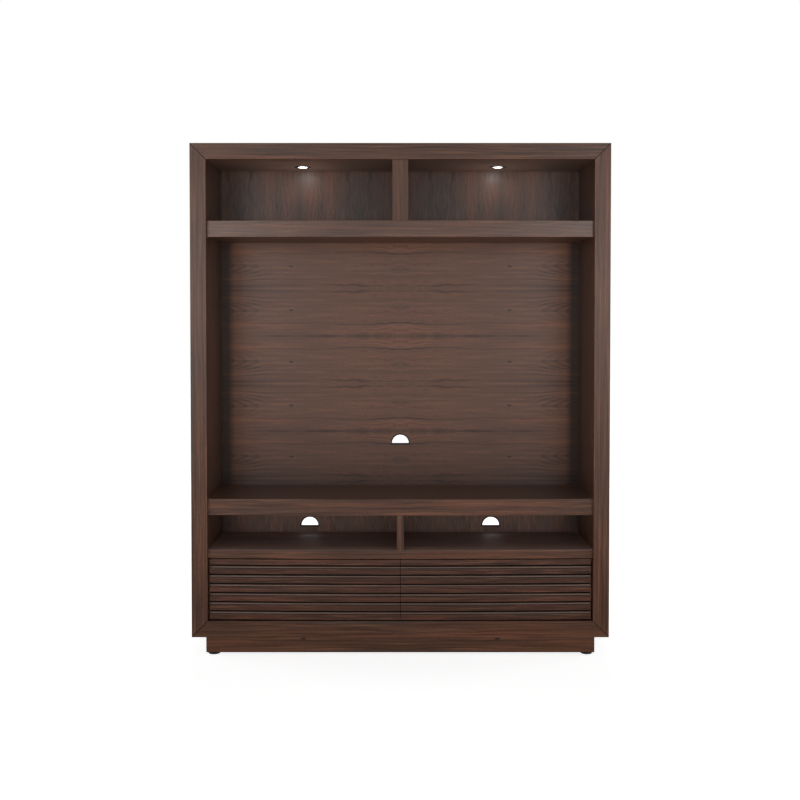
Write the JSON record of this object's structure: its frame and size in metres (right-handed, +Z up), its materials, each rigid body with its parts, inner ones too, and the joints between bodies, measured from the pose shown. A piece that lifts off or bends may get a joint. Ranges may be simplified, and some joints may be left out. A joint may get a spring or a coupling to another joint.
{
  "type": "tv stand",
  "caption": "Tall walnut television cabinet: mitred frame, lit display bays, open television bay, media bays, bowed slatted drawers on slides, inset plinth with levelling feet.",
  "frame": {"origin": "on the floor, under the middle of the cabinet", "axes": "+Z up, the open front and the drawers face -Y, +X to the right seen from the front"},
  "size_m": [1.727, 0.465, 2.114],
  "materials": {
    "can_aluminium": "spun aluminium",
    "drawer_maple": "clear lacquered maple plywood",
    "driver_case": "black moulded case",
    "foot_nylon": "black moulded nylon foot",
    "frame_poplar": "plain unfinished poplar, hidden",
    "inlet_plastic": "black moulded socket",
    "lead_sheath": "black sheathed lead",
    "led_board": "white printed circuit board",
    "lens_frosted": "frosted lens, lit from behind",
    "ring_nickel": "brushed nickel",
    "slide_steel": "zinc plated rolled steel",
    "walnut_back": "walnut veneered back board, satin lacquer",
    "walnut_frame": "walnut veneer, satin lacquer, grain along each member",
    "walnut_level": "walnut veneer, satin lacquer, level grain",
    "walnut_slats": "solid walnut slats, satin lacquer, level grain",
    "walnut_upright": "walnut veneer, satin lacquer, upright grain"
  },
  "bodies": {
    "cabinet": {"bottom_panel": "walnut_level", "bottom_rail": "walnut_frame", "ceiling_panel": "walnut_level", "display_divider": "walnut_upright", "drawer_partition": "walnut_upright", "lamp_cans": "can_aluminium", "lamp_driver": "driver_case", "lamp_leads": "lead_sheath", "lamp_led_boards": "led_board", "lamp_lenses": "lens_frosted", "lamp_rings": "ring_nickel", "left_inner_wall": "walnut_upright", "left_post": "walnut_frame", "left_side_panel": "walnut_upright", "lower_back_panel": "walnut_back", "media_deck": "walnut_level", "media_divider": "walnut_upright", "mid_shelf": "walnut_level", "mid_shelf_edge": "walnut_level", "plinth_back": "walnut_level", "plinth_corner_blocks": "frame_poplar", "plinth_front": "walnut_level", "plinth_left_end": "walnut_level", "plinth_right_end": "walnut_level", "power_inlet": "inlet_plastic", "rear_stiles": "frame_poplar", "right_inner_wall": "walnut_upright", "right_post": "walnut_frame", "right_side_panel": "walnut_upright", "slide_cabinet_channels": "slide_steel", "top_panel": "walnut_level", "top_rail": "walnut_frame", "tv_back_panel": "walnut_back", "tv_shelf": "walnut_level", "tv_shelf_edge": "walnut_level", "upper_back_panel": "walnut_back"},
    "front_left_foot": {"front_left_foot": "foot_nylon"},
    "front_right_foot": {"front_right_foot": "foot_nylon"},
    "back_left_foot": {"back_left_foot": "foot_nylon"},
    "back_right_foot": {"back_right_foot": "foot_nylon"},
    "left_drawer": {"left_drawer_bottom": "drawer_maple", "left_drawer_box_back": "drawer_maple", "left_drawer_box_front": "drawer_maple", "left_drawer_front": "walnut_slats", "left_drawer_inner_side": "drawer_maple", "left_drawer_outer_side": "drawer_maple", "left_slide_drawer_channels": "slide_steel"},
    "left_slide_middle": {"left_slide_middle_channels": "slide_steel"},
    "right_drawer": {"right_drawer_bottom": "drawer_maple", "right_drawer_box_back": "drawer_maple", "right_drawer_box_front": "drawer_maple", "right_drawer_front": "walnut_slats", "right_drawer_inner_side": "drawer_maple", "right_drawer_outer_side": "drawer_maple", "right_slide_drawer_channels": "slide_steel"},
    "right_slide_middle": {"right_slide_middle_channels": "slide_steel"}
  },
  "joints": [
    {"name": "left_drawer_slide", "type": "slide", "parent": "cabinet", "child": "left_drawer", "axis": [0, -1, 0], "range_m": [0, 0.372]},
    {"name": "left_middle_slide", "type": "slide", "parent": "cabinet", "child": "left_slide_middle", "axis": [0, -1, 0], "range_m": [0, 0.186]},
    {"name": "right_drawer_slide", "type": "slide", "parent": "cabinet", "child": "right_drawer", "axis": [0, -1, 0], "range_m": [0, 0.372]},
    {"name": "right_middle_slide", "type": "slide", "parent": "cabinet", "child": "right_slide_middle", "axis": [0, -1, 0], "range_m": [0, 0.186]},
    {"name": "front_left_foot_turn", "type": "hinge", "parent": "cabinet", "child": "front_left_foot", "pos_m": [-0.776, -0.191, 0], "axis": [0, 0, 1], "continuous": true},
    {"name": "front_right_foot_turn", "type": "hinge", "parent": "cabinet", "child": "front_right_foot", "pos_m": [0.776, -0.191, 0], "axis": [0, 0, 1], "continuous": true},
    {"name": "back_left_foot_turn", "type": "hinge", "parent": "cabinet", "child": "back_left_foot", "pos_m": [-0.776, 0.173, 0], "axis": [0, 0, 1], "continuous": true},
    {"name": "back_right_foot_turn", "type": "hinge", "parent": "cabinet", "child": "back_right_foot", "pos_m": [0.776, 0.173, 0], "axis": [0, 0, 1], "continuous": true}
  ],
  "couplings": [
    {"joint": "left_middle_slide", "follows": "left_drawer_slide", "ratio": 0.5},
    {"joint": "right_middle_slide", "follows": "right_drawer_slide", "ratio": 0.5}
  ]
}
